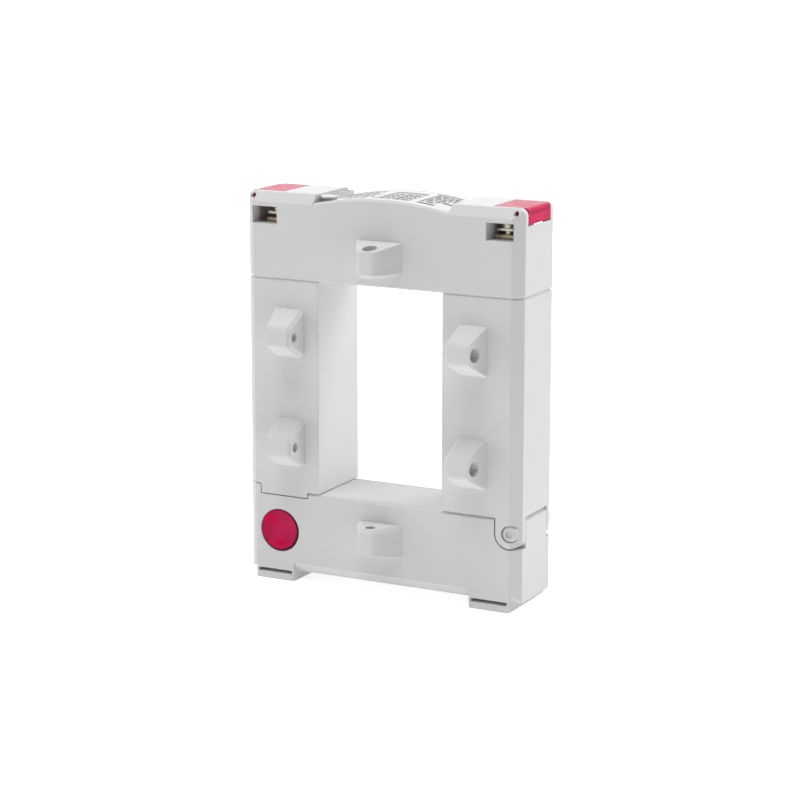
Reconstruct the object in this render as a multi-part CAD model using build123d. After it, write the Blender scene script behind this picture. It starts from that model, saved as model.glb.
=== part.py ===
from build123d import *
from math import hypot, sqrt
import os

# Split-core current transformer, in millimetres.
# X runs to the right, Y to the back and Z up from the soles of the feet, under the middle of the housing.

# Housing
width = 125.0
depth = 34.0
leg_width = 34.2
foot_height = 3.6
yoke_height = 35.0
window_height = 89.4
head_height = 35.3
wall = 2.5
corner_cut = 4.0
split_gap = 0.4
seam_bevel = 0.8
slide_gap = 0.2

# Head
top_bevel = 4.0
end_round = 3.0
arch_width = 61.4
arch_radius = 135.0
arch_rise = 0.2
arch_bevel = 1.0
cavity_height = 26.3
cavity_width = 89.0
rib_thickness = 2.0
head_rib_x = (13.0, 35.0)
rib_overlap = 4.0

# Rating label in its recess, with a raised bar and a lifting lip at its left end
label_right = 28.5
label_margin = 1.85
label_recess = 0.5
label_thickness = 0.42
label_gap = 0.15
label_bar = 2.1
label_bar_drop = 1.2
lip_drop = 0.7
lip_width = 6.0
lip_thickness = 0.7
lip_inset = 0.75
lip_setback = 2.0
lip_root = 1.2
pry_notch_length = 6.95
pry_notch_width = 7.2
pry_notch_depth = 3.2

# Terminal pockets and cable entries
pocket_length = 12.8
pocket_rise = 21.0
pocket_floor = 2.0
cheek = 6.4
entry_length = 11.7
entry_rise = 1.5
entry_height = 7.1

# Terminal covers
cover_length = 15.1
cover_top = 1.5
cover_side = 1.8
cover_height = 6.7
cover_edge_round = 1.5
cover_gap = 0.2
cover_seam = 0.3
cover_pin_inset = 3.2
cover_pin_drop = 2.0
trunnion = 2.0
trunnion_length = 2.6
running_gap = 0.05

# Fixing lugs
lug_length = 20.3
lug_thickness = 13.4
lug_reach = 12.0
lug_nose_length = 8.0
lug_nose_thickness = 10.8
lug_nose_round = 3.2
lug_bevel = 1.4
lug_edge_round = 0.5
lug_bore = 4.2
lug_bore_reach = 7.9
lug_sink = 6.0
lug_sink_depth = 3.0
head_lug_rise = 5.3
yoke_lug_drop = 8.3
leg_lug_offset = 6.6
lower_leg_lug = 21.4
upper_leg_lug = 67.4

# Leg spigots that plug into the head
spigot_height = 6.0
spigot_root = 4.0
spigot_wall = 1.2

# Magnetic circuit and coils
core_height = 13.0
core_gap = 0.2
core_edge = 3.0
core_corner = 6.5
beam_rise = 3.0
cushion_x = 25.0
cushion_length = 10.0
cushion_thickness = 3.0
bobbin_gap = 0.15
bobbin_wall = 1.1
bobbin_drop = 1.0
flange_thickness = 1.2
flange_gap = 0.4
winding_build = 4.25
winding_margin = 0.8
winding_face_margin = 0.7
winding_corner = 4.0
lead = 1.8
lead_gap = 0.4
link_rise = 10.0
link_bend = 6.0

# Terminals
bar_width = 8.8
bar_height = 3.2
bar_gap = 0.4
bar_end_gap = 1.1
bar_edge = 0.3
screw_spacing = 12.0
screw = 3.9
screw_gap = 0.05
screw_length = 5.0
screw_head = 6.4
screw_head_height = 2.2
screw_head_round = 0.8
screw_tip_rise = 0.6
drive_slot = 0.9
drive_depth = 1.1
plate_size = 8.0
plate_thickness = 0.9
plate_gap = 0.15

# Yoke tray, feet and lid
bottom_bevel = 4.5
yoke_edge_bevel = 0.8
foot_length = 17.8
foot_post = 0.9
foot_slot = 1.5
lid_thickness = 2.0
lid_gap = 0.3
ledge_width = 1.2
ledge_height = 1.5
yoke_block_gap = 1.0
barrel_gap = 2.1

# Left seam: the yoke's end stands up and the leg's skirt hangs down
end_length = 6.2
end_rise = 1.9
skirt_drop = 1.8
skirt_right = -34.0

# Hinge
hinge_inset = 4.2
hinge_drop = 5.9
knuckle_radius = 6.0
arm_thickness = 6.7
arm_gap = 0.3
knuckle_gap = 0.6
swing_gap = 0.25
hinge_pin_size = 4.0
press_gap = 0.02
pin_head = 6.4
pin_head_length = 2.2
pin_head_gap = 0.3
pin_head_sink = 0.4
pin_dimple = 3.0
pin_dimple_depth = 0.5

# Lock
button_offset = 1.8
button_rise = 17.9
button_size = 18.0
button_length = 2.7
button_gap = 0.08
button_proud = 0.2
button_edge = 0.4
dish_width = 16.2
dish_depth = 1.0
button_flange = 20.4
button_flange_length = 1.2
button_flange_gap = 0.1
stem = 3.0
stem_gap = 0.2
leaf_inset = 10.6
leaf_thickness = 0.5
leaf_width = 14.4
tongue_width = 6.4
tongue_over = 1.7
leaf_foot_length = 9.4
pad_height = 3.4
pad_width = 12.0
pad_margin = 0.5
fork_inset = 6.4
fork_thickness = 2.0
prong_width = 3.6
fork_low = 7.0
fork_gap = 0.4
fork_swing_gap = 2.8
nose_height = 4.0
nose_reach = 1.3
nose_lead = 1.1
hook_gap = 0.3
latch_screw_size = 2.4
latch_screw_length = 4.5
latch_screw_head = 4.8
latch_screw_head_height = 1.4

# Levels and limits that follow from the sizes
side = width / 2
front = depth / 2
inner_x = side - wall
inner_y = front - wall
split_z = foot_height + yoke_height
leg_z = split_z + split_gap
head_z = split_z + window_height
top_z = head_z + head_height
window_x = side - leg_width
leg_x = side - leg_width / 2
leg_inner_x = window_x + wall
ceiling_z = head_z + wall + cavity_height
pocket_x = inner_x - pocket_length
pocket_y = front - cheek
pocket_z = head_z + pocket_rise
cover_pin_x = side - cover_pin_inset
cover_pin_z = top_z - cover_pin_drop
cover_low_z = top_z - cover_height
arch_z = top_z + arch_rise - arch_radius
label_y = front - label_margin
label_left = label_gap - arch_width / 2
lip_x = label_left + lip_inset + lip_width / 2
lip_y = lip_setback + lip_width / 2 - label_y
lip_z = top_z - lip_drop
flange_x = leg_width / 2 - wall - slide_gap - spigot_wall - flange_gap
flange_y = inner_y - slide_gap - spigot_wall - flange_gap
winding_x = flange_x - winding_margin
winding_y = flange_y - winding_face_margin
bobbin_x = winding_x - winding_build
bobbin_y = winding_y - winding_build
core_half_x = bobbin_x - bobbin_wall - bobbin_gap
core_half_y = bobbin_y - bobbin_wall - bobbin_gap
slot_x = core_half_x + core_gap
slot_y = core_half_y + core_gap
core_x = leg_x + core_half_x
beam_z = head_z + beam_rise
beam_top_z = beam_z + core_height
lid_z = split_z - lid_thickness
bar_z = lid_z - core_gap
yoke_core_z = bar_z - core_height
seat_z = yoke_core_z - cushion_thickness
lead_run_x = (bobbin_x + winding_x) / 2
lead_run_y = (bobbin_y + winding_y) / 2
leg_floor_z = leg_z + wall
bobbin_top_z = head_z - bobbin_drop
winding_top_z = bobbin_top_z - flange_thickness
terminal_x = pocket_x + bar_gap + bar_width / 2
tray_z = foot_height + wall
hinge_x = side - hinge_inset
hinge_z = split_z - hinge_drop
recess_wall = knuckle_radius + knuckle_gap + wall - slide_gap
block_x = hinge_x - recess_wall
barrel_x = core_x + barrel_gap
arm_y = front - arm_thickness
barrel_y = arm_y - arm_gap
button_x = -leg_x - button_offset
button_z = foot_height + button_rise
leaf_y = -front + leaf_inset
fork_y = -front + fork_inset
fork_z = button_z - fork_low
nose_z = fork_z + nose_height
hook_z = nose_z + hook_gap
pad_z = tray_z + pad_height


def block(x, y, z):
    # Box between a low and a high limit along each axis
    lows = [min(pair) for pair in (x, y, z)]
    highs = [max(pair) for pair in (x, y, z)]
    sizes = [high - low for low, high in zip(lows, highs)]
    middle = [(high + low) / 2 for low, high in zip(lows, highs)]
    return Pos(*middle) * Box(*sizes)


def around(centre, half):
    # The two limits that lie the same distance from a centre
    return (centre - half, centre + half)


def rod_y(x, y, z, radius):
    # Round rod along Y between two limits
    return Pos(x, (y[0] + y[1]) / 2, z) * Rot(90, 0, 0) * Cylinder(radius, y[1] - y[0])


def rod_z(x, y, z, radius):
    # Round rod along Z between two limits
    return Pos(x, y, (z[0] + z[1]) / 2) * Cylinder(radius, z[1] - z[0])


def left_right(shape):
    # A shape and its mirror image on the other side
    return shape + mirror(shape, about=Plane.YZ)


def front_back(shape):
    # A shape and its mirror image on the other face
    return shape + mirror(shape, about=Plane.XZ)


def plan_prism(x, z, left_cut, right_cut):
    # Housing outline seen from above, with its outer corners cut at 45 degrees
    low, high = x
    corners = [
        (low + left_cut, -front),
        (high - right_cut, -front),
        (high, -front + right_cut),
        (high, front - right_cut),
        (high - right_cut, front),
        (low + left_cut, front),
        (low, front - left_cut),
        (low, -front + left_cut),
    ]
    outline = Polygon(*dict.fromkeys(corners), align=None)
    return extrude(Plane.XY.offset(z[0]) * outline, z[1] - z[0])


def side_prism(x, points):
    # Side view outline, given as points in Y and Z, drawn out along X
    return extrude(Plane.YZ.offset(x[0]) * Polygon(*points, align=None), x[1] - x[0])


def bevelled_section(half, low, high, low_cut, high_cut):
    # Side view outline of a bar with 45 degree bevels along its lower and upper edges
    return [
        (-half + low_cut, low),
        (half - low_cut, low),
        (half, low + low_cut),
        (half, high - high_cut),
        (half - high_cut, high),
        (-half + high_cut, high),
        (-half, high - high_cut),
        (-half, low + low_cut),
    ]


def lug():
    # Fixing lug on the front face: flat and bevelled on its lower side, tapered and sunk on its upper side
    base = Plane.XZ * Pos(0, lug_thickness / 2) * Rectangle(lug_length, lug_thickness)
    nose = Plane.XZ.offset(lug_reach) * Pos(0, lug_nose_thickness / 2)
    body = loft([base, nose * Rectangle(lug_nose_length, lug_nose_thickness)])
    corners = body.edges().group_by(Axis.Y)[0].filter_by(Axis.Z)
    body = fillet(corners, lug_nose_round)
    body = chamfer(rim_edges(body, 0), lug_bevel)
    body = fillet(rim_edges(body, -1), lug_edge_round)
    mouth = lug_thickness - (lug_thickness - lug_nose_thickness) * lug_bore_reach / lug_reach
    body -= rod_z(0, -lug_bore_reach, (0, lug_thickness), lug_bore / 2)
    return body - rod_z(0, -lug_bore_reach, (mouth - lug_sink_depth, lug_thickness), lug_sink / 2)


def rim_edges(body, place):
    # Edges round the lowest or the highest face of a lug, without the one against the housing
    face = body.faces().sort_by(Axis.Z)[place]
    return face.edges().filter_by(lambda edge: edge.center().Y < -lug_edge_round)


def flat_lugs(z, turn):
    # A front and a back lug with upright bores; turned over, the bevelled side is on top
    return front_back(Pos(0, -front, z) * Rot(0, turn, 0) * lug())


def head_housing():
    # Moulded head: two end blocks with bevelled tops and a shallow arch between them
    arch_x = arch_width / 2
    rounded = fillet(Rectangle(width, head_height).vertices().group_by(Axis.Y)[-1], end_round)
    rounded = extrude(Plane.XZ.offset(-front) * Pos(0, head_z + head_height / 2) * rounded, depth)
    ends = left_right(side_prism((arch_x, side), bevelled_section(front, head_z, top_z, 0.0, top_bevel)))
    middle = block((-arch_x, arch_x), (-front, front), (head_z, top_z + end_round))
    middle &= rod_y(0, (-front, front), arch_z, arch_radius)
    crown = middle.faces().sort_by(Axis.Z)[-1]
    middle = chamfer(crown.edges().filter_by(GeomType.CIRCLE), arch_bevel)
    outline = plan_prism((-side, side), (head_z, top_z + end_round), corner_cut, corner_cut)
    outline = chamfer(outline.faces().sort_by(Axis.Z)[0].edges(), seam_bevel)
    head = (ends & rounded) + middle
    head &= outline
    head += flat_lugs(head_z + head_lug_rise, 0)
    head -= head_cavity()
    head -= left_right(terminal_pocket())
    head -= label_recess_cut()
    head -= pry_notch()
    for x in head_rib_x:
        head += left_right(head_rib(x))
    return head


def head_cavity():
    # Room for the beam of the upper core, with a way down into each leg
    room = block((-inner_x, inner_x), (-inner_y, inner_y), (head_z + wall, pocket_z - pocket_floor))
    half = cavity_width / 2
    room += block((-half, half), (-inner_y, inner_y), (head_z + wall, ceiling_z))
    room += left_right(block((leg_inner_x, inner_x), (-inner_y, inner_y), (head_z, head_z + wall)))
    return room


def head_rib(x):
    # Saddle rib under the ceiling that locates the beam of the upper core
    low = beam_top_z - rib_overlap
    rib = block(around(x, rib_thickness / 2), (-inner_y, inner_y), (low, ceiling_z))
    slot = block(around(x, rib_thickness), (-slot_y, slot_y), (low, beam_top_z + core_gap))
    return rib - slot


def terminal_pocket():
    # Right pocket, open at the top and outside for its cover, with a cable entry through each cheek
    pocket = block((pocket_x, inner_x), (-pocket_y, pocket_y), (pocket_z, top_z))
    pocket += block((pocket_x, side), (-pocket_y, pocket_y), (cover_low_z - cover_seam, top_z + end_round))
    sweep = hypot(cover_pin_inset, cover_height - cover_pin_drop) + cover_seam
    relief = rod_y(cover_pin_x, (-pocket_y, pocket_y), cover_pin_z, sweep)
    pocket += relief & block((cover_pin_x, side), (-pocket_y, pocket_y), (pocket_z, top_z))
    entry_z = pocket_z + entry_rise
    pocket += block((pocket_x, pocket_x + entry_length), (-front, front), (entry_z, entry_z + entry_height))
    pocket += rod_y(cover_pin_x, (-front, front), cover_pin_z, trunnion / 2 + running_gap)
    pocket += rod_z(leg_x + lead_run_x, 0, (pocket_z - pocket_floor, pocket_z), lead / 2 + lead_gap)
    return pocket


def label_recess_cut():
    # Shallow recess that follows the arch of the head
    half = label_y + label_gap
    length = (label_left - label_gap, label_right + label_gap)
    cut = block(length, (-half, half), (arch_z, top_z + end_round))
    return cut - rod_y(0, (-front, front), arch_z, arch_radius - label_recess)


def pry_notch():
    # Small pocket under the lip of the label, for a fingernail or a blade
    right = label_left + pry_notch_length
    floor_z = arch_z + sqrt(arch_radius**2 - right**2) - pry_notch_depth
    y = (-label_y, -label_y + pry_notch_width)
    return block((label_left, right), y, (floor_z, top_z + end_round))


def rating_label():
    # Curved strip that lies in the recess, cut away over the pocket and raised at its left end
    strip = block((label_left, label_right), (-label_y, label_y), (arch_z, top_z + end_round))
    under = arch_radius - label_recess
    strip &= rod_y(0, (-front, front), arch_z, under + label_thickness)
    strip += block((label_left, label_left + label_bar), (lip_y, label_y), (arch_z, top_z - label_bar_drop))
    strip -= pry_notch()
    strip += label_lip()
    return strip - rod_y(0, (-front, front), arch_z, under)


def label_lip():
    # Round-ended lip that reaches over the pocket from a low step on the strip
    back = -label_y + pry_notch_width
    z = (lip_z - lip_thickness, lip_z)
    lip = rod_z(lip_x, lip_y, z, lip_width / 2)
    lip += block(around(lip_x, lip_width / 2), (lip_y, back + lip_root), z)
    lip += block((label_left, lip_x), (lip_y, back + lip_root), z)
    return lip + block((label_left, lip_x + lip_width / 2), (back, back + lip_root), (arch_z, lip_z))


def leg_housing():
    # Right leg: open at the top, with a square opening in its floor for the core
    leg = plan_prism((window_x, side), (leg_z, head_z), 0.0, corner_cut)
    rim = leg.faces().sort_by(Axis.Z)[-1].edges()
    leg = chamfer(rim.filter_by(lambda edge: edge.center().X > window_x + seam_bevel), seam_bevel)
    leg -= block((leg_inner_x, inner_x), (-inner_y, inner_y), (leg_floor_z, head_z))
    leg -= block(around(leg_x, slot_x), (-slot_y, slot_y), (leg_z, leg_floor_z))
    leg += leg_spigot()
    upright = Pos(window_x + leg_lug_offset, -front, split_z) * Rot(0, 90, 0) * lug()
    for rise in (lower_leg_lug, upper_leg_lug):
        leg += front_back(Pos(0, 0, rise) * upright)
    return leg


def leg_spigot():
    # Thin collar round the top of a leg that plugs into the head
    inside_x = (leg_inner_x + spigot_wall + slide_gap, inner_x - spigot_wall - slide_gap)
    inside_y = inner_y - spigot_wall - slide_gap
    spigot = block((leg_inner_x, inner_x), (-inner_y, inner_y), (head_z - spigot_root, head_z))
    upper_x = (leg_inner_x + slide_gap, inner_x - slide_gap)
    upper_y = inner_y - slide_gap
    spigot += block(upper_x, (-upper_y, upper_y), (head_z, head_z + spigot_height))
    spigot -= block(inside_x, (-inside_y, inside_y), (head_z - spigot_root, head_z + spigot_height))
    beam_notch_x = (leg_inner_x, inside_x[0])
    return spigot - block(beam_notch_x, (-slot_y, slot_y), (beam_z - core_gap, head_z + spigot_height))


def right_leg_housing():
    # Right leg with the two arms of the hinge
    leg = leg_housing()
    arms = block((hinge_x - knuckle_radius, side), (arm_y, front), (hinge_z, leg_floor_z))
    arms += rod_y(hinge_x, (arm_y, front), hinge_z, knuckle_radius)
    arms &= plan_prism((window_x, side), (hinge_z - knuckle_radius, leg_floor_z), 0.0, corner_cut)
    arms -= rod_y(hinge_x, (arm_y, front), hinge_z, hinge_pin_size / 2 + press_gap)
    sink_y = front - pin_head_sink - pin_head_length
    arms -= rod_y(hinge_x, (sink_y, front), hinge_z, pin_head / 2 + pin_head_gap)
    return leg + front_back(arms)


def left_leg_housing():
    # Left leg with the skirt of the seam and the fork that the lock holds
    leg = mirror(leg_housing(), about=Plane.YZ)
    end_z = split_z + end_rise + split_gap
    end_x = -side + end_length + split_gap
    keep = block((-inner_x + lid_gap, end_x), (-inner_y + split_gap, inner_y - split_gap), (leg_z, end_z))
    leg -= block((-side, end_x), (-front, front), (leg_z, end_z)) - keep
    skirt = block((end_x, skirt_right), (-front, -inner_y), (split_z - skirt_drop, leg_z))
    leg += front_back(skirt)
    return leg + lock_fork()


def lock_fork():
    # Two prongs with noses that the leaf's hooks catch
    fork = None
    outer = leaf_width / 2
    for low, high in ((-outer, prong_width - outer), (outer - prong_width, outer)):
        prong_x = (button_x + low, button_x + high)
        prong = block(prong_x, (fork_y, fork_y + fork_thickness), (fork_z, leg_floor_z))
        nose_back = fork_y + fork_thickness + nose_reach
        nose = block(prong_x, (fork_y, nose_back), (fork_z, nose_z))
        tip = nose.edges().filter_by(Axis.X).group_by(Axis.Z)[0].sort_by(Axis.Y)[-1]
        prong += chamfer(tip, nose_lead)
        fork = prong if fork is None else fork + prong
    return fork


def yoke_housing():
    # Tray with feet, a raised left end, seats for the core, the button hole and the hinge barrel
    section = bevelled_section(front, foot_height, split_z, bottom_bevel, yoke_edge_bevel)
    outside = side_prism((-side, side), section)
    end_z = split_z + end_rise
    end_x = -side + end_length
    outside += block((-side, end_x), (-front, front), (hinge_z, end_z))
    foot_top = foot_height + bottom_bevel
    foot_x = (side - corner_cut - foot_length, side - corner_cut)
    outside += left_right(block(foot_x, (-front, front), (0, foot_top)))
    outside &= plan_prism((-side, side), (0, end_z), corner_cut, corner_cut)
    slot_x = (foot_x[0] + foot_post, foot_x[1] - foot_post)
    foot_slots = left_right(block(slot_x, (-front, front), around(foot_height, foot_slot / 2)))
    inner_bevel = bottom_bevel - wall * (2 - sqrt(2))
    inside = side_prism((-inner_x, inner_x), bevelled_section(inner_y, tray_z, end_z, inner_bevel, 0.0))
    tray = outside - foot_slots - inside
    tray += yoke_ribs() + yoke_ledges()
    tray += hinge_block()
    tray += latch_pad()
    screw_z = (pad_z - latch_screw_length, pad_z)
    tray -= rod_z(button_x, screw_y(), screw_z, latch_screw_size / 2 + press_gap)
    tray -= skirt_notch()
    tray -= hinge_recess()
    tray -= rod_y(hinge_x, (-barrel_y, barrel_y), hinge_z, hinge_pin_size / 2 + running_gap)
    tray += flat_lugs(split_z - yoke_lug_drop, 180)
    hole_y = (-front, -inner_y)
    tray -= rod_y(button_x, hole_y, button_z, button_size / 2 + button_gap)
    return tray


def yoke_ribs():
    # Two pairs of ribs: each carries a cushion in its slot and the lid on its top
    ribs = None
    inner_bevel = bottom_bevel - wall * (2 - sqrt(2))
    section = bevelled_section(inner_y, tray_z, lid_z, inner_bevel, 0.0)
    half = cushion_length / 2
    for x in (cushion_x - half, cushion_x + half - rib_thickness):
        rib = side_prism((x, x + rib_thickness), section)
        rib -= block((x, x + rib_thickness), (-slot_y, slot_y), (seat_z, lid_z))
        ribs = rib if ribs is None else ribs + rib
    return left_right(ribs)


def yoke_ledges():
    # Ledges along the walls that carry the rim of the lid
    z = (lid_z - ledge_height, lid_z)
    half = pole_limit()
    ledges = front_back(block((-half, half), (inner_y - ledge_width, inner_y), z))
    ledges += block((-inner_x, -inner_x + ledge_width), (-inner_y, inner_y), z)
    return ledges


def pole_limit():
    # Inner edge of the opening for each core pole
    return leg_x - slot_x


def hinge_block():
    # Solid barrel of the hinge with its two cheeks, at the right end of the tray
    low_z = hinge_z - recess_wall
    y = core_half_y + yoke_block_gap
    cheeks = front_back(block((block_x, inner_x), (-inner_y, -y), (low_z, split_z)))
    return cheeks + block((barrel_x, inner_x), (-y, y), (low_z, split_z))


def hinge_recess():
    # Room for the arms at the front and the back, and the rounded edge between them
    gap = knuckle_radius + knuckle_gap
    left = hinge_x - gap
    recess = block((left, side), (barrel_y, front), (hinge_z, split_z))
    recess += rod_y(hinge_x, (barrel_y, front), hinge_z, gap)
    recess += block((hinge_x, side), (barrel_y, front), (hinge_z - gap, hinge_z))
    edge_radius = hinge_drop + split_gap - swing_gap
    edge = block((hinge_x, side), (-barrel_y, barrel_y), (hinge_z, split_z))
    edge -= rod_y(hinge_x, (-barrel_y, barrel_y), hinge_z, edge_radius)
    return front_back(recess) + edge


def skirt_notch():
    # The front and back walls are lower where the leg's skirt hangs
    notch_z = split_z - skirt_drop - split_gap
    notch_x = (-side + end_length, skirt_right + split_gap)
    return front_back(block(notch_x, (-front, -inner_y), (notch_z, split_z + end_rise)))


def latch_pad():
    # Raised pad on the tray floor that the leaf is screwed to
    pad_y = (leaf_y - leaf_thickness, leaf_y + leaf_foot_length + leaf_thickness)
    return block(around(button_x, pad_width / 2), pad_y, (tray_z, pad_z))


def screw_y():
    # Place of the latch screw along the leaf's foot
    return leaf_y + leaf_foot_length / 2


def yoke_lid():
    # Flat lid with openings for the poles and the fork
    z = (lid_z, split_z)
    end_x = block_x - lid_gap
    tongue_x = barrel_x - lid_gap
    tongue_y = core_half_y + yoke_block_gap - lid_gap
    rim_y = inner_y - lid_gap
    lid = block((-inner_x + lid_gap, end_x), (-rim_y, rim_y), z)
    lid += block((end_x, tongue_x), (-tongue_y, tongue_y), z)
    lid -= left_right(block(around(leg_x, slot_x), (-slot_y, slot_y), z))
    half = leaf_width / 2
    fork_x = (button_x - half - fork_swing_gap, button_x + half + fork_gap)
    lid -= block(fork_x, (fork_y - fork_gap, -slot_y), z)
    return lid


def upper_core():
    # U-shaped core of wound strip, with rounded outer corners
    legs = left_right(block(around(leg_x, core_half_x), (-core_half_y, core_half_y), (split_z, beam_top_z)))
    beam = block((-core_x, core_x), (-core_half_y, core_half_y), (beam_z, beam_top_z))
    body = legs + beam
    corners = body.edges().filter_by(Axis.Y).group_by(Axis.Z)[-1]
    return fillet(corners, core_corner)


def yoke_core():
    # Shallow U-shaped core whose poles meet the upper core
    bar = block((-core_x, core_x), (-core_half_y, core_half_y), (yoke_core_z, bar_z))
    corners = bar.edges().filter_by(Axis.Y).group_by(Axis.Z)[0]
    bar = fillet(corners, core_edge)
    return bar + left_right(block(around(leg_x, core_half_x), (-core_half_y, core_half_y), (bar_z, split_z)))


def core_cushions():
    # Foam pads between the ribs' slots and the yoke core
    y = (-core_half_y, core_half_y)
    pad = block(around(cushion_x, cushion_length / 2), y, (seat_z, yoke_core_z))
    return left_right(pad)


def bobbin():
    # Coil former on the right leg of the core
    former = None
    for low in (leg_floor_z, winding_top_z):
        flange = block(around(leg_x, flange_x), (-flange_y, flange_y), (low, low + flange_thickness))
        former = flange if former is None else former + flange
    z = (leg_floor_z, bobbin_top_z)
    former += block(around(leg_x, bobbin_x), (-bobbin_y, bobbin_y), z)
    bore_y = bobbin_y - bobbin_wall
    former -= block(around(leg_x, bobbin_x - bobbin_wall), (-bore_y, bore_y), z)
    for x, y in ((leg_x + lead_run_x, 0), (leg_x - lead_run_x, -lead_run_y)):
        former -= rod_z(x, y, (winding_top_z, bobbin_top_z), lead / 2 + lead_gap)
    return former


def winding():
    # Copper coil on the right bobbin
    z = (leg_floor_z + flange_thickness, winding_top_z)
    coil = block(around(leg_x, winding_x), (-winding_y, winding_y), z)
    coil = fillet(coil.edges().filter_by(Axis.Z), winding_corner)
    return coil - block(around(leg_x, bobbin_x), (-bobbin_y, bobbin_y), z)


def terminal_lead():
    # Straight lead from the top of the right coil to the terminal bar above it
    return rod_z(leg_x + lead_run_x, 0, (winding_top_z, pocket_z), lead / 2)


def link_lead():
    # Lead that joins the two coils, passing in front of the beam
    x = leg_x - lead_run_x
    high = winding_top_z + flange_thickness + link_rise + head_z - bobbin_top_z
    turns = ((-x, winding_top_z), (-x, high), (x, high), (x, winding_top_z))
    path = FilletPolyline(*[(turn_x, -lead_run_y, z) for turn_x, z in turns], radius=link_bend)
    start = Plane(origin=path @ 0, z_dir=path % 0)
    return sweep(start * Circle(lead / 2), path=path)


def terminal_bar():
    # Plated bar on the floor of the right pocket, drilled for two screws
    half = pocket_y - bar_end_gap
    bar = block(around(terminal_x, bar_width / 2), (-half, half), (pocket_z, pocket_z + bar_height))
    bar = chamfer(bar.edges().group_by(Axis.Z)[-1], bar_edge)
    z = (pocket_z, pocket_z + bar_height)
    return bar - front_back(rod_z(terminal_x, -screw_spacing / 2, z, screw / 2 + screw_gap))


def terminal_screw():
    # Clamping screw with a domed head and a crossed slot
    tip_z = pocket_z + screw_tip_rise
    seat = tip_z + screw_length
    body = rod_z(0, 0, (tip_z, seat), screw / 2)
    head = rod_z(0, 0, (seat, seat + screw_head_height), screw_head / 2)
    body += fillet(head.edges().group_by(Axis.Z)[-1], screw_head_round)
    slot_z = (seat + screw_head_height - drive_depth, seat + screw_head_height)
    reach = screw_head / 2
    body -= block((-reach, reach), around(0, drive_slot / 2), slot_z)
    return body - block(around(0, drive_slot / 2), (-reach / 2, reach / 2), slot_z)


def pressure_plate():
    # Square plate that the screw presses on the conductor
    top = pocket_z + screw_tip_rise + screw_length
    half = plate_size / 2
    plate = block((-half, half), (-half, half), (top - plate_thickness, top))
    plate = fillet(plate.edges().filter_by(Axis.Z), plate_thickness)
    return plate - rod_z(0, 0, (top - plate_thickness, top), screw / 2 + plate_gap)


def four_places(shape):
    # The same piece at both screws of both terminals
    y = screw_spacing / 2
    places = ((-terminal_x, -y), (-terminal_x, y), (terminal_x, -y), (terminal_x, y))
    return Compound(children=[Pos(*place, 0) * shape for place in places])


def terminal_cover():
    # Right cover: a top panel and a side panel on a hinge boss with two trunnions
    half = pocket_y - cover_gap
    y = (-half, half)
    cover = block((side - cover_length, side), y, (top_z - cover_top, top_z))
    cover += block((side - cover_side, side), y, (cover_low_z, top_z))
    outer = cover.edges().filter_by(Axis.Y).sort_by(lambda edge: edge.center().X + edge.center().Z)[-1]
    cover = fillet(outer, cover_edge_round)
    cover += rod_y(cover_pin_x, y, cover_pin_z, cover_pin_drop)
    pins = (-half - trunnion_length, half + trunnion_length)
    return cover + rod_y(cover_pin_x, pins, cover_pin_z, trunnion / 2)


def hinge_pin():
    # Riveted pin through both arms and the barrel
    end = front - pin_head_sink
    inner = end - pin_head_length
    pin = rod_y(hinge_x, (-inner, inner), hinge_z, hinge_pin_size / 2)
    head = rod_y(hinge_x, (-end, -inner), hinge_z, pin_head / 2)
    head = chamfer(head.edges().group_by(Axis.Y)[0], pin_dimple_depth)
    head -= rod_y(hinge_x, (-end, -end + pin_dimple_depth), hinge_z, pin_dimple / 2)
    return pin + front_back(head)


def lock_button():
    # Round push button with a dished face, a retaining flange and a stem
    face = -front - button_proud
    back = face + button_length
    cap = rod_y(button_x, (face, back), button_z, button_size / 2)
    cap = fillet(cap.edges().group_by(Axis.Y)[0], button_edge)
    ball = (dish_width**2 / 4 + dish_depth**2) / (2 * dish_depth)
    cap -= Pos(button_x, face + dish_depth - ball, button_z) * Sphere(ball)
    flange_y = -inner_y + button_flange_gap
    flange_back = flange_y + button_flange_length
    cap += rod_y(button_x, (flange_y, flange_back), button_z, button_flange / 2)
    neck = rod_y(button_x, (back, flange_y), button_z, button_size / 2)
    stem_end = leaf_y - leaf_thickness - stem_gap
    return cap + neck + rod_y(button_x, (flange_back, stem_end), button_z, stem / 2)


def latch_leaf():
    # Bent leaf of spring steel: a foot, an upright web, two hooks and a tongue behind the stem
    leaf_front = leaf_y - leaf_thickness
    half = leaf_width / 2
    y = (leaf_front, leaf_y)
    leaf = block(around(button_x, pad_width / 2 - pad_margin), y, (pad_z, fork_z))
    leaf += block((button_x - half, button_x + half), y, (fork_z, hook_z + leaf_thickness))
    tongue_top = button_z + tongue_over
    leaf += block(around(button_x, tongue_width / 2), y, (hook_z, tongue_top))
    hook_y = (fork_y + fork_thickness + core_gap, leaf_y)
    for low in (-half, half - prong_width):
        hook_x = (button_x + low, button_x + low + prong_width)
        leaf += block(hook_x, hook_y, (hook_z, hook_z + leaf_thickness))
    foot_y = (leaf_front, leaf_y + leaf_foot_length)
    foot = block(around(button_x, pad_width / 2 - pad_margin), foot_y, (pad_z, pad_z + leaf_thickness))
    foot -= rod_z(button_x, screw_y(), (pad_z, pad_z + leaf_thickness), latch_screw_size / 2 + plate_gap)
    return leaf + foot


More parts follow.
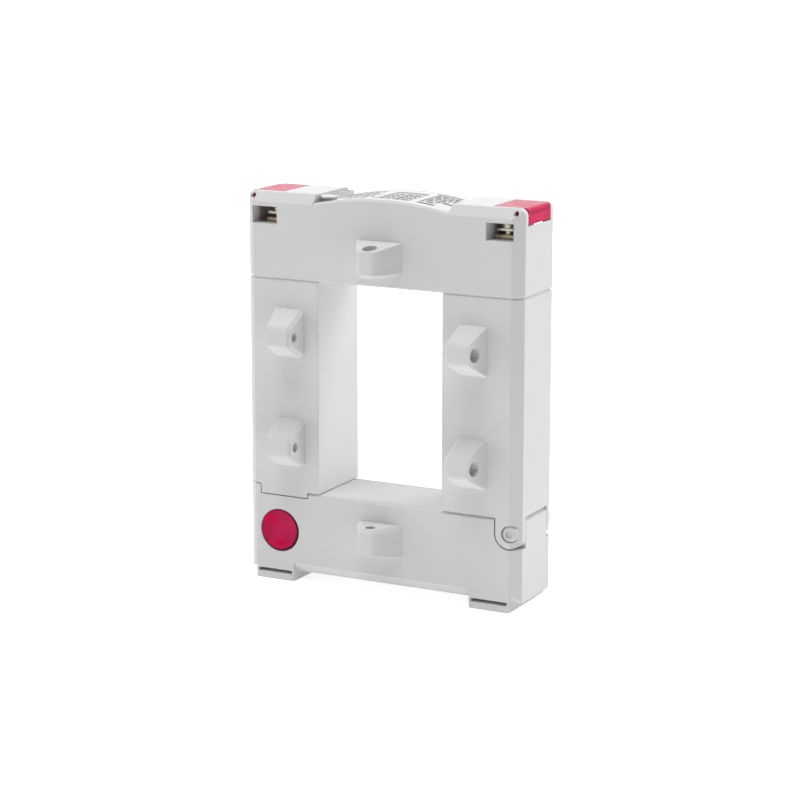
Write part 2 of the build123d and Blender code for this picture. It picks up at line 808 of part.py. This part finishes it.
def latch_screw():
    # Pan head screw through the leaf's foot
    seat = pad_z + leaf_thickness
    depth_z = pad_z - latch_screw_length + slide_gap
    body = rod_z(button_x, screw_y(), (depth_z, seat), latch_screw_size / 2)
    head = rod_z(button_x, screw_y(), (seat, seat + latch_screw_head_height), latch_screw_head / 2)
    body += fillet(head.edges().group_by(Axis.Z)[-1], leaf_thickness)
    slot_z = (seat + latch_screw_head_height / 2, seat + latch_screw_head_height)
    reach = latch_screw_head / 2
    return body - block(around(button_x, reach), around(screw_y(), leaf_thickness / 2), slot_z)


def on_left(shape):
    # The mirrored piece on the left leg
    return mirror(shape, about=Plane.YZ)


nodes = {
    "head_housing": head_housing(),
    "left_leg_housing": left_leg_housing(),
    "right_leg_housing": right_leg_housing(),
    "yoke_housing": yoke_housing(),
    "yoke_lid": yoke_lid(),
    "upper_core": upper_core(),
    "yoke_core": yoke_core(),
    "core_cushions": core_cushions(),
    "left_bobbin": on_left(bobbin()),
    "right_bobbin": bobbin(),
    "left_winding": on_left(winding()),
    "right_winding": winding(),
    "start_lead": on_left(terminal_lead()),
    "link_lead": link_lead(),
    "finish_lead": terminal_lead(),
    "left_terminal_bar": on_left(terminal_bar()),
    "right_terminal_bar": terminal_bar(),
    "terminal_screws": four_places(terminal_screw()),
    "pressure_plates": four_places(pressure_plate()),
    "left_terminal_cover": on_left(terminal_cover()),
    "right_terminal_cover": terminal_cover(),
    "rating_label": rating_label(),
    "hinge_pin": hinge_pin(),
    "lock_button": lock_button(),
    "latch_leaf": latch_leaf(),
    "latch_screw": latch_screw(),
}

os.makedirs("parts", exist_ok=True)
for name, shape in nodes.items():
    export_step(shape, f"parts/{name}.step")
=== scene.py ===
import math

import bmesh
import bpy
from mathutils import Matrix, Vector


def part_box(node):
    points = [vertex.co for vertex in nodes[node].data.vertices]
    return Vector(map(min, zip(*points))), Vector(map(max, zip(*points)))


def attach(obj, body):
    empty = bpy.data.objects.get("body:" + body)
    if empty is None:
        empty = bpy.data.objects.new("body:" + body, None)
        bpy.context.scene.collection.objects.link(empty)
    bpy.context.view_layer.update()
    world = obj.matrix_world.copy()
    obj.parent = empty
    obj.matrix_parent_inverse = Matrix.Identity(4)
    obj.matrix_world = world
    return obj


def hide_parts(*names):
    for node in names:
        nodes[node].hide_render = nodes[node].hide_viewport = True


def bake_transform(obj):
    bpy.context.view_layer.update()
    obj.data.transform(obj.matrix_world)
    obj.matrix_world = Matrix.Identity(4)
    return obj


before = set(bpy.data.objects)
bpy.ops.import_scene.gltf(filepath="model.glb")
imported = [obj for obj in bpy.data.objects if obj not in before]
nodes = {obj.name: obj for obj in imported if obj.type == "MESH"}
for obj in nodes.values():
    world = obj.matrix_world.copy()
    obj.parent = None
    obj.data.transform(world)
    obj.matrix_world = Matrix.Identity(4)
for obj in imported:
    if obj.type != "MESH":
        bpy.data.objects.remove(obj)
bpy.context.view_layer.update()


# Yoke tray
# The lower housing with its feet, lugs, button hole and hinge barrel, moulded in light grey polycarbonate.
# The mould is spark-eroded, so the plastic is matt with a fine even grain and softly rounded edges.
def linear(colour):
    # A shader's linear colour from an sRGB hex value
    parts = [int(colour[place : place + 2], 16) / 255 for place in (1, 3, 5)]
    return [part / 12.92 if part <= 0.04045 else ((part + 0.055) / 1.055) ** 2.4 for part in parts] + [1.0]


def per_mm(size):
    # Texture scale that gives a feature of this many millimetres
    return 1000.0 / size


def add(material, kind, inputs, **settings):
    # One node with its settings, and its sockets given a value or another node's output
    made = material.node_tree.nodes.new(kind)
    for name, value in settings.items():
        setattr(made, name, value)
    for name, value in inputs.items():
        if isinstance(value, bpy.types.NodeSocket):
            material.node_tree.links.new(value, made.inputs[name])
        else:
            made.inputs[name].default_value = value
    return made


def new_material(name):
    # An empty material with its surface shader and the place on the object
    material = bpy.data.materials.new(name)
    material.use_nodes = True
    shader = material.node_tree.nodes["Principled BSDF"]
    place = add(material, "ShaderNodeTexCoord", {}).outputs["Object"]
    return material, shader, place


def feed(material, shader, sockets):
    # Sets or links sockets of the surface shader
    for name, value in sockets.items():
        if isinstance(value, bpy.types.NodeSocket):
            material.node_tree.links.new(value, shader.inputs[name])
        else:
            shader.inputs[name].default_value = value


def tint(material, factor, tone, colour):
    # A tone that turns to an sRGB value where the factor is 1
    mix = {0: factor, 6: tone, 7: linear(colour)}
    return add(material, "ShaderNodeMix", mix, data_type="RGBA").outputs[2]


def two_tone(material, factor, first, second):
    # A colour between two sRGB values
    return tint(material, factor, linear(first), second)


def between(material, factor, low, high):
    # A number between two limits
    spread = {"Value": factor, "To Min": low, "To Max": high}
    return add(material, "ShaderNodeMapRange", spread).outputs["Result"]


def math_node(material, operation, first, second=0.0):
    # One sum of two numbers or sockets
    return add(material, "ShaderNodeMath", {0: first, 1: second}, operation=operation).outputs[0]


def noise(material, place, size, detail=2.0):
    # Cloudy pattern with patches of this many millimetres
    settings = {"Vector": place, "Scale": per_mm(size), "Detail": detail}
    return add(material, "ShaderNodeTexNoise", settings).outputs[0]


def bumped(material, height, depth, normal=None):
    # A normal that follows a pattern of this depth in micrometres
    settings = {"Height": height, "Strength": 1.0, "Distance": depth / 1e6}
    if normal is not None:
        settings["Normal"] = normal
    return add(material, "ShaderNodeBump", settings).outputs[0]


def moulded_plastic(name, first, second, rough, grain, depth, edge, gloss):
    # Injection moulded plastic: faint cloudy tone, mould grain and rounded edges
    material, shader, place = new_material(name)
    cloud = noise(material, place, 26.0)
    speck = noise(material, place, grain, 4.0)
    rounded = add(material, "ShaderNodeBevel", {"Radius": edge / 1000}, samples=6).outputs[0]
    feed(material, shader, {
        "Base Color": two_tone(material, cloud, first, second),
        "Roughness": between(material, speck, rough - 0.05, rough + 0.05),
        "Normal": bumped(material, speck, depth, rounded),
        "IOR": 1.585,
        "Specular IOR Level": gloss,
    })
    return material


def finish(material, *names):
    # Gives CAD nodes a material
    for name in names:
        nodes[name].data.materials.clear()
        nodes[name].data.materials.append(material)


housing_grey = moulded_plastic("light_grey_polycarbonate", "#E0E0E0", "#DCDCDC", 0.62, 0.45, 14.0, 0.35, 0.04)
finish(housing_grey, "yoke_housing")


# Cushions and yoke core
# Two foam pads press the lower core up. It is wound from silicon steel strip, cut, and ground on its poles.
# The edges of the strips show as fine dark lines, and the foam as small open cells.
def stripes(material, distance, pitch):
    # 0 to 1 and back over each pitch in millimetres
    turns = math_node(material, "MULTIPLY", distance, math.tau * per_mm(pitch))
    return between(material, math_node(material, "SINE", turns), 0.0, 1.0)


def wound_strip(name, corner_x, corner_z, beam_on_top):
    # Lines that follow a strip wound round an inner corner, which is given in metres
    material, shader, place = new_material(name)
    parts = add(material, "ShaderNodeSeparateXYZ", {"Vector": place}).outputs
    across = math_node(material, "ABSOLUTE", parts[0])
    heights = (parts[2], corner_z) if beam_on_top else (corner_z, parts[2])
    run = math_node(material, "MAXIMUM", math_node(material, "SUBTRACT", across, corner_x))
    rise = math_node(material, "MAXIMUM", math_node(material, "SUBTRACT", *heights))
    flat = add(material, "ShaderNodeCombineXYZ", {0: run, 1: rise}).outputs[0]
    layer = add(material, "ShaderNodeVectorMath", {0: flat}, operation="LENGTH").outputs["Value"]
    line = stripes(material, layer, 0.5)
    feed(material, shader, {
        "Base Color": two_tone(material, line, "#6F7377", "#93979B"),
        "Metallic": 1.0,
        "Roughness": between(material, noise(material, place, 5.0, 3.0), 0.34, 0.52),
        "Normal": bumped(material, line, 30.0),
    })
    return material


def foam(name):
    # Open cells of about half a millimetre
    material, shader, place = new_material(name)
    cell = add(material, "ShaderNodeTexVoronoi", {"Vector": place, "Scale": per_mm(0.6)}).outputs["Distance"]
    feed(material, shader, {
        "Base Color": two_tone(material, cell, "#232325", "#3A3A3D"),
        "Roughness": 0.92,
        "Normal": bumped(material, cell, 200.0),
    })
    return material


low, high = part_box("yoke_core")
strip_build = 2 * high.y
yoke_strip = wound_strip("silicon_steel_strip_yoke", high.x - strip_build, low.z + strip_build, False)
finish(yoke_strip, "yoke_core")
finish(foam("closed_cell_foam"), "core_cushions")


# Yoke lid
# A flat cover plate in the same grey plastic, which closes the tray round the two core poles.
finish(housing_grey, "yoke_lid")


# Lock leaf and its screw
# A bent leaf of tempered spring steel with a rolled grain along its length, slightly straw coloured.
# Its foot is screwed down, and its web bends back as the button's stem pushes the tongue.
def rolled_steel(name, first, second, rough):
    # Steel with fine rolling lines along Z
    material, shader, place = new_material(name)
    grain = {"Vector": place, "Scale": (per_mm(0.25), per_mm(0.25), per_mm(6.0))}
    grain = {"Vector": add(material, "ShaderNodeMapping", grain).outputs[0], "Scale": 1.0, "Detail": 3.0}
    lines = add(material, "ShaderNodeTexNoise", grain).outputs[0]
    feed(material, shader, {
        "Base Color": two_tone(material, lines, first, second),
        "Metallic": 1.0,
        "Roughness": between(material, lines, rough - 0.06, rough + 0.08),
        "Normal": bumped(material, lines, 8.0),
    })
    return material


def merged_copy(name, low_z, high_z, rows):
    # A CAD node's shape as one skin, cut into level rows between two heights, where it can bend
    mesh = bmesh.new()
    mesh.from_mesh(nodes[name].data)
    mesh.transform(nodes[name].matrix_world)
    bmesh.ops.remove_doubles(mesh, verts=mesh.verts, dist=1e-6)
    for row in range(rows + 1):
        level = (0.0, 0.0, low_z + (high_z - low_z) * row / rows)
        parts = mesh.verts[:] + mesh.edges[:] + mesh.faces[:]
        bmesh.ops.bisect_plane(mesh, geom=parts, plane_co=level, plane_no=(0.0, 0.0, 1.0))
    return mesh


button_low, button_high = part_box("lock_button")
button_x = (button_low.x + button_high.x) / 2
button_z = (button_low.z + button_high.z) / 2
low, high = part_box("latch_leaf")
bend_low = (button_x, low.y, low.z + 0.001)
bend_high = (button_x, low.y, button_z - 0.003)
leaf_mesh = merged_copy("latch_leaf", bend_low[2], bend_high[2], 8)
leaf_data = bpy.data.meshes.new("bending_leaf")
leaf_mesh.to_mesh(leaf_data)
leaf_mesh.free()
leaf_data.materials.append(rolled_steel("tempered_spring_steel", "#8E8C86", "#A9A69D", 0.34))
bending_leaf = bpy.data.objects.new("bending_leaf", leaf_data)
bpy.context.scene.collection.objects.link(bending_leaf)
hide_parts("latch_leaf")
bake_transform(bending_leaf)


# Push button
# Crimson polycarbonate with a dished face, held in the tray by a flange behind the wall.
# Two pools of light on the face are painted in as highlights, and painted shade darkens its edge all round,
# more so at the lower right.
def ramp(material, value, start, end, kind="LINEAR"):
    # 0 up to the start value, and 1 from the end value on
    limits = {"Value": value, "From Min": start, "From Max": end}
    return add(material, "ShaderNodeMapRange", limits, interpolation_type=kind).outputs["Result"]


def clear_plastic(name, first, second, rim, painted_top_shade, patch, edge):
    # Tinted see-through plastic: uneven depth of colour, painted shade that darkens the rim, and on the
    # upward faces a darker tone painted in as shade, with more gloss
    material, shader, place = new_material(name)
    cloud = ramp(material, noise(material, place, patch, 1.0), 0.38, 0.62)
    rounded = add(material, "ShaderNodeBevel", {"Radius": edge / 1000}, samples=8).outputs[0]
    flat = add(material, "ShaderNodeNewGeometry", {}).outputs["Normal"]
    both = {0: rounded, 1: flat}
    facing = add(material, "ShaderNodeVectorMath", both, operation="DOT_PRODUCT").outputs["Value"]
    spaces = {"vector_type": "NORMAL", "convert_from": "WORLD", "convert_to": "OBJECT"}
    turned = add(material, "ShaderNodeVectorTransform", {"Vector": rounded}, **spaces).outputs[0]
    height = add(material, "ShaderNodeSeparateXYZ", {"Vector": turned}).outputs[2]
    # Faces that point up get a darker tone of their own, painted in as shade, and more gloss
    on_top = ramp(material, height, 0.55, 0.95)
    tone = tint(material, on_top, two_tone(material, cloud, first, second), painted_top_shade)
    # Painted shade: the rim colour darkens the edges, where the rounded normal turns away from the face
    tone = tint(material, ramp(material, facing, 0.99, 0.8), tone, rim)
    feed(material, shader, {
        "Roughness": between(material, cloud, 0.22, 0.3),
        "Normal": bumped(material, noise(material, place, 2.5, 1.0), 10.0),
        "IOR": 1.585,
        "Specular IOR Level": between(material, on_top, 0.07, 0.5),
    })
    return material, shader, place, tone


def spot(material, place, centre, stretch, inner, outer):
    # 1 near a point of the front, fading to 0; the centre is in metres and the distances in millimetres
    shift = (-centre[0] * stretch, 0.0, -centre[1])
    shifted = {"Vector": place, "Location": shift, "Scale": (stretch, 0.0, 1.0)}
    across = add(material, "ShaderNodeMapping", shifted).outputs[0]
    reach = add(material, "ShaderNodeVectorMath", {0: across}, operation="LENGTH").outputs["Value"]
    return ramp(material, reach, outer / 1000, inner / 1000, "SMOOTHSTEP")


button_red, button_shader, button_place, tone = clear_plastic(
    "crimson_polycarbonate_button", "#C81E54", "#B2174B", "#4E081F", "#A80C40", 7.0, 0.4
)
# Painted highlights: two pools of light on the dished face, in a brighter red
painted_highlight_high = spot(button_red, button_place, (button_x - 0.0042, button_z + 0.0042), 1.0, 0.5, 4.2)
painted_highlight_low = spot(button_red, button_place, (button_x + 0.001, button_z - 0.0055), 0.5, 0.4, 2.6)
# Painted shade: a dark ring at the edge of the face, where the button meets its hole
painted_gap_shade = spot(button_red, button_place, (button_x - 0.00025, button_z + 0.00025), 1.0, 8.75, 8.1)
tone = tint(button_red, math_node(button_red, "MAXIMUM", painted_highlight_high, painted_highlight_low), tone, "#CE0042")
feed(button_red, button_shader, {"Base Color": tint(button_red, painted_gap_shade, tone, "#4A0A20")})
finish(button_red, "lock_button")


# Legs
# Two hollow grey mouldings with four lugs each. The left has the lock's fork and the right the hinge arms.
finish(housing_grey, "left_leg_housing", "right_leg_housing")


# Coils
# Bobbins of black glass-filled polyamide, each wound with enamelled copper wire of 1 mm pitch.
# The turns show as close parallel ridges under a clear amber lacquer.
def enamelled_wire(name, pitch):
    # Ridges of wire one above the other
    material, shader, place = new_material(name)
    height = add(material, "ShaderNodeSeparateXYZ", {"Vector": place}).outputs[2]
    stain = noise(material, place, 3.0, 3.0)
    feed(material, shader, {
        "Base Color": two_tone(material, stain, "#B5633A", "#9C4F2C"),
        "Metallic": 1.0,
        "Roughness": between(material, stain, 0.24, 0.36),
        "Coat Weight": 0.6,
        "Coat Roughness": 0.12,
        "Normal": bumped(material, stripes(material, height, pitch), 150.0),
    })
    return material


black_nylon = moulded_plastic("glass_filled_polyamide", "#242426", "#2B2B2E", 0.5, 0.5, 10.0, 0.2, 0.5)
finish(black_nylon, "left_bobbin", "right_bobbin")
copper_wire = enamelled_wire("enamelled_copper_wire", 1.0)
finish(copper_wire, "left_winding", "right_winding")


# Leads
# The ends of the coils, and the wire that joins them across the beam of the core.
finish(copper_wire, "start_lead", "finish_lead", "link_lead")


# Upper core
# The U-shaped half of the core, wound and cut like the lower one.
low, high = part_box("upper_core")
upper_strip = wound_strip("silicon_steel_strip", high.x - strip_build, high.z - strip_build, True)
finish(upper_strip, "upper_core")


# Head
# The grey moulding over both legs, with the terminal pockets, the cable entries and two lugs.
finish(housing_grey, "head_housing")


# Terminals
# Nickel plated brass bars with plated steel screws and square clamping plates.
# The plating is bright and slightly warm, with faint tool marks.
def nickel_plate(name, first, second, rough):
    # Bright plating over fine machining marks
    material, shader, place = new_material(name)
    mark = noise(material, place, 0.5, 4.0)
    cloud = noise(material, place, 3.0)
    feed(material, shader, {
        "Base Color": two_tone(material, cloud, first, second),
        "Metallic": 1.0,
        "Roughness": between(material, mark, rough - 0.05, rough + 0.07),
        "Normal": bumped(material, mark, 4.0),
    })
    return material


plated_brass = nickel_plate("nickel_plated_brass", "#C9C0A8", "#B9AE95", 0.26)
finish(plated_brass, "left_terminal_bar", "right_terminal_bar")
plated_steel = nickel_plate("nickel_plated_steel", "#C8C4B8", "#B7B2A4", 0.24)
finish(plated_steel, "terminal_screws", "pressure_plates", "latch_screw")


# Terminal covers
# Crimson polycarbonate flaps with a polished skin, which turn on moulded trunnions.
# Painted shade draws a dark line where the inner corner of the top panel shows through the side panel.
cover_red, cover_shader, cover_place, tone = clear_plastic(
    "crimson_polycarbonate_cover", "#DA0C57", "#C40A4C", "#9C0A39", "#BE0F49", 5.0, 0.7
)
# Painted shade: a dark line along the inner corner of the top panel
painted_corner_shade = spot(cover_red, cover_place, (0.0, 0.1612), 0.0, 0.15, 0.7)
feed(cover_red, cover_shader, {"Base Color": tint(cover_red, painted_corner_shade, tone, "#9C0A3E")})
finish(cover_red, "left_terminal_cover", "right_terminal_cover")


# Rating label
# A strip of satin polyester film laid in the recess of the arch, with a raised bar at its left end.
# Its grey print, of bars, a ruled table and dashed rows, is a thin layer of ink that follows the film.
label_film = moulded_plastic("satin_polyester_film", "#E0E1E1", "#DBDCDC", 0.42, 1.2, 3.0, 0.05, 0.2)
finish(label_film, "rating_label")
low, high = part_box("rating_label")
film_radius = 0.13492
film_centre = high.z - film_radius
bar_edge = -0.0284
bar_top = 0.1621
ink_lift = 1.5e-5
ink_thickness = 2.5e-5
ink_step = 1.5
table_left = -4.6
table_right = 9.8
table_low = -11.6
table_high = 4.4
rule = 0.45
column_height = 16.4


def print_mark(mesh, x, y, width, height):
    # One printed rectangle, bent to the film's curve; sizes in millimetres from the middle of the head
    steps = max(1, round(width / ink_step))
    place = Matrix.Translation((x / 1000, y / 1000, 0.0))
    turned = place @ Matrix.Diagonal((width / 2000, height / 2000, 1.0, 1.0))
    bmesh.ops.create_grid(mesh, x_segments=steps, y_segments=1, size=1.0, matrix=turned)


def print_row(mesh, left, right, y, height, lengths, gap):
    # A row of dashes of different lengths
    x = left
    place = 0
    while x < right:
        width = min(lengths[place % len(lengths)], right - x)
        if width > 0.5:
            print_mark(mesh, x + width / 2, y, width, height)
        x += width + gap
        place += 1


ink_mesh = bmesh.new()
print_mark(ink_mesh, 2.7, 7.4, 14.6, 2.0)
print_mark(ink_mesh, 17.3, -10.2, 7.4, 2.2)
print_mark(ink_mesh, 17.6, 11.6, 11.2, 1.6)
rows = (
    (-27.4, -9.4, 10.6, 1.9, (3.1, 1.4, 4.6, 2.2), 0.7),
    (-27.4, -12.0, 7.4, 1.9, (1.6, 3.8, 2.4), 0.8),
    (-27.4, -8.2, 4.0, 1.6, (4.2, 2.0, 3.0, 1.2), 0.6),
    (-27.4, -10.2, 1.2, 1.6, (2.4, 2.4, 4.8), 0.6),
    (-27.4, -7.6, -1.6, 1.6, (3.4, 1.2, 1.8, 4.0), 0.6),
    (-27.4, -9.0, -4.4, 1.6, (1.4, 4.4, 2.6), 0.6),
    (-18.2, -6.0, -8.4, 2.1, (2.2, 1.8, 3.2), 0.9),
    (-18.2, -8.6, -11.6, 1.6, (3.0, 1.6), 0.7),
    (13.0, 25.6, 8.6, 1.9, (2.0, 3.2, 1.4), 0.6),
    (13.0, 24.0, 5.8, 1.9, (3.6, 1.6, 2.4), 0.6),
    (13.0, 25.6, 3.0, 1.9, (1.4, 2.8, 2.0), 0.6),
    (13.0, 22.6, 0.2, 1.9, (2.6, 1.2, 3.4), 0.6),
    (13.0, 25.6, -2.8, 2.1, (4.2, 2.4), 0.8),
    (13.0, 20.2, -6.2, 2.1, (1.8, 3.2), 0.8),
)
for left, right, y, height, lengths, gap in rows:
    print_row(ink_mesh, left, right, y, height, lengths, gap)
for y in (table_high, 0.4, -3.6, -7.6, table_low):
    print_mark(ink_mesh, (table_left + table_right) / 2, y, table_right - table_left, rule)
for x in (table_left, 0.4, 5.2, table_right):
    print_mark(ink_mesh, x, (table_low + table_high) / 2, rule, column_height)
for y in (2.4, -1.6, -5.6, -9.6):
    print_row(ink_mesh, -3.8, 9.2, y, 1.8, (2.6, 1.4, 3.0), 1.0)
for y in (-4.2, -0.8, 2.4, 5.8, 9.4, 12.6):
    print_mark(ink_mesh, -29.5, y, 1.2, 2.1)
for vertex in ink_mesh.verts:
    curve = film_centre + math.sqrt((film_radius + ink_lift) ** 2 - vertex.co.x ** 2)
    vertex.co.z = bar_top + ink_lift if vertex.co.x < bar_edge else curve
bmesh.ops.recalc_face_normals(ink_mesh, faces=ink_mesh.faces)
bmesh.ops.solidify(ink_mesh, geom=ink_mesh.faces[:], thickness=ink_thickness)
bmesh.ops.recalc_face_normals(ink_mesh, faces=ink_mesh.faces)
# The new side faces come in no fixed order, so they are sorted, and each run writes the same mesh
ink_mesh.verts.index_update()
ink_points = [vertex.co[:] for vertex in ink_mesh.verts]
ink_faces = sorted([vertex.index for vertex in face.verts] for face in ink_mesh.faces)
ink_mesh.free()
ink_data = bpy.data.meshes.new("label_print")
ink_data.from_pydata(ink_points, [], ink_faces)
label_print = bpy.data.objects.new("label_print", ink_data)
bpy.context.scene.collection.objects.link(label_print)

ink, ink_shader, ink_place = new_material("grey_printing_ink")
spread = noise(ink, ink_place, 0.7, 3.0)
feed(ink, ink_shader, {
    "Base Color": two_tone(ink, spread, "#3F4242", "#606363"),
    "Roughness": between(ink, spread, 0.38, 0.55),
})
ink_data.materials.append(ink)
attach(label_print, "frame")


# Hinge pin
# A turned pin in grey acetal, headed at both ends.
grey_acetal = moulded_plastic("grey_acetal", "#D6D8D7", "#D1D3D2", 0.38, 0.5, 6.0, 0.3, 0.3)
finish(grey_acetal, "hinge_pin")


# Studio
# A pale floor that keeps the shadow, a white room round it, and broad soft lamps at the sides and above.
# The floor is plain white in reflections, and turns from its lit tone to white away from the object.
floor_mesh = bmesh.new()
bmesh.ops.create_circle(floor_mesh, cap_ends=True, segments=96, radius=9.0)
floor_data = bpy.data.meshes.new("studio_floor")
floor_mesh.to_mesh(floor_data)
floor_mesh.free()
floor = bpy.data.objects.new("studio_floor", floor_data)
bpy.context.scene.collection.objects.link(floor)

paper, paper_shader, paper_place = new_material("white_studio_paper")


def mirrored_ray(material):
    # 1 for rays from a reflection or through glass, otherwise 0
    rays = add(material, "ShaderNodeLightPath", {}).outputs
    return math_node(material, "MAXIMUM", rays["Is Glossy Ray"], rays["Is Transmission Ray"])


def camera_ray(material):
    # 1 for rays straight from the camera, otherwise 0
    return add(material, "ShaderNodeLightPath", {}).outputs["Is Camera Ray"]


distance = add(paper, "ShaderNodeVectorMath", {0: paper_place}, operation="LENGTH").outputs["Value"]
glow = between(paper, ramp(paper, distance, 0.15, 0.8, "SMOOTHSTEP"), 0.6, 1.0)
glow = between(paper, camera_ray(paper), 0.3, glow)
feed(paper, paper_shader, {
    "Base Color": linear("#F4F4F4"),
    "Roughness": 0.9,
    "Emission Color": linear("#FFFFFF"),
    "Emission Strength": glow,
})
mirrored = add(paper, "ShaderNodeEmission", {"Color": linear("#FFFFFF"), "Strength": 1.0}).outputs[0]
shown = {0: mirrored_ray(paper), 1: paper_shader.outputs[0], 2: mirrored}
shown = add(paper, "ShaderNodeMixShader", shown).outputs[0]
paper.node_tree.links.new(shown, paper.node_tree.nodes["Material Output"].inputs["Surface"])
floor_data.materials.append(paper)

world = bpy.data.worlds.new("white_room")
bpy.context.scene.world = world
world.use_nodes = True
sky = world.node_tree.nodes["Background"]
seen = math_node(world, "MAXIMUM", camera_ray(world), mirrored_ray(world))
feed(world, sky, {"Color": linear("#FFFFFF"), "Strength": math_node(world, "MAXIMUM", seen, 0.06)})


def softbox(name, place, power):
    # Broad square lamp in watts, turned towards the middle of the object and unseen in reflections
    lamp = bpy.data.lights.new(name, "AREA")
    lamp.size = 0.9
    lamp.energy = power
    holder = bpy.data.objects.new(name, lamp)
    bpy.context.scene.collection.objects.link(holder)
    holder.location = place
    holder.visible_glossy = False
    aim = Vector((0.0, 0.0, 0.08)) - Vector(place)
    holder.rotation_euler = aim.to_track_quat("-Z", "Y").to_euler()


softbox("left_softbox", (-1.2, -0.5, 0.5), 3.75)
softbox("left_back_softbox", (-1.1, 0.8, 0.6), 8.0)
softbox("right_back_softbox", (1.0, 0.9, 0.5), 4.9)
softbox("high_right_softbox", (0.8, 0.9, 1.1), 10.5)
softbox("overhead_softbox", (-0.05, -0.25, 1.35), 11.8)
softbox("high_front_softbox", (-0.3, -1.0, 1.3), 1.4)


# Camera
# A long lens a little above the object's right front corner, with the verticals left as they fall.
tilt = 77.69
turn = 27.48
camera_data = bpy.data.cameras.new("camera")
camera_data.sensor_width = 36.0
camera_data.lens = 113.12
camera = bpy.data.objects.new("camera", camera_data)
bpy.context.scene.collection.objects.link(camera)
camera.location = (0.4664, -0.8956, 0.2990)
camera.rotation_euler = (math.radians(tilt), 0.0, math.radians(turn))
bpy.context.scene.camera = camera
bpy.context.scene.view_settings.view_transform = "Standard"
